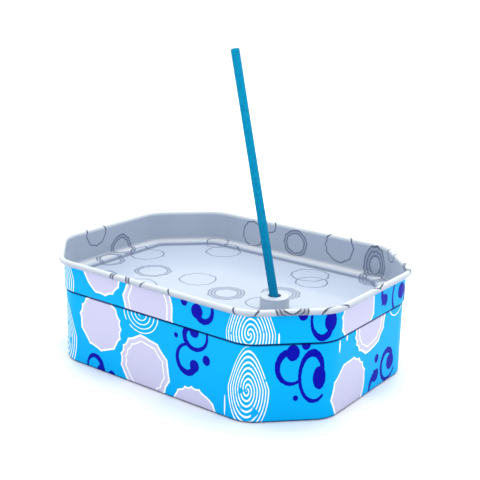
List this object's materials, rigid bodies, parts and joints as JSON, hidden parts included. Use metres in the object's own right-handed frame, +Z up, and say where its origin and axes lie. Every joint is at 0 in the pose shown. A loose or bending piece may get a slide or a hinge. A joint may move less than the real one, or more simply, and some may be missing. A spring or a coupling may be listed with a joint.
{
  "type": "incense tin",
  "caption": "Octagonal slip-lid tin with its lid upside down on the base as an ash tray, a round holder carrying a leaning incense stick, and more sticks stored inside.",
  "frame": {"origin": "centre of the base's footprint, on the surface it stands on", "axes": "+X along the tin's long sides, +Z up, -Y towards the front long side, with the stick holder right of centre"},
  "size_m": [0.1456, 0.1086, 0.1313],
  "materials": {
    "printed_tinplate": "glossy lithographed print on tinplate",
    "bare_tinplate": "bright bare tinplate outside, white lacquer inside",
    "printed_lid": "white lacquer with grey line print inside, glossy blue print outside",
    "holder_white": "smooth white glaze",
    "incense_blue": "matte pressed incense paste"
  },
  "bodies": {
    "base": {"body_wall": "printed_tinplate", "bottom_panel": "bare_tinplate", "spare_stick_01": "incense_blue", "spare_stick_02": "incense_blue", "spare_stick_03": "incense_blue", "spare_stick_04": "incense_blue", "spare_stick_05": "incense_blue", "spare_stick_06": "incense_blue", "spare_stick_07": "incense_blue", "spare_stick_08": "incense_blue", "spare_stick_09": "incense_blue", "spare_stick_10": "incense_blue", "spare_stick_11": "incense_blue", "spare_stick_12": "incense_blue"},
    "lid": {"lid_tray": "printed_lid"},
    "holder": {"stick_holder": "holder_white"},
    "stick": {"incense_stick": "incense_blue"}
  },
  "joints": [
    {"name": "lid_lift", "type": "slide", "parent": "base", "child": "lid", "axis": [0, 0, 1], "range_m": [0, 0.06]},
    {"name": "holder_lift", "type": "slide", "parent": "lid", "child": "holder", "axis": [0, 0, 1], "range_m": [0, 0.03]},
    {"name": "stick_pull", "type": "slide", "parent": "holder", "child": "stick", "axis": [-0.3067, 0.1177, 0.9445], "range_m": [0, 0.03]}
  ]
}
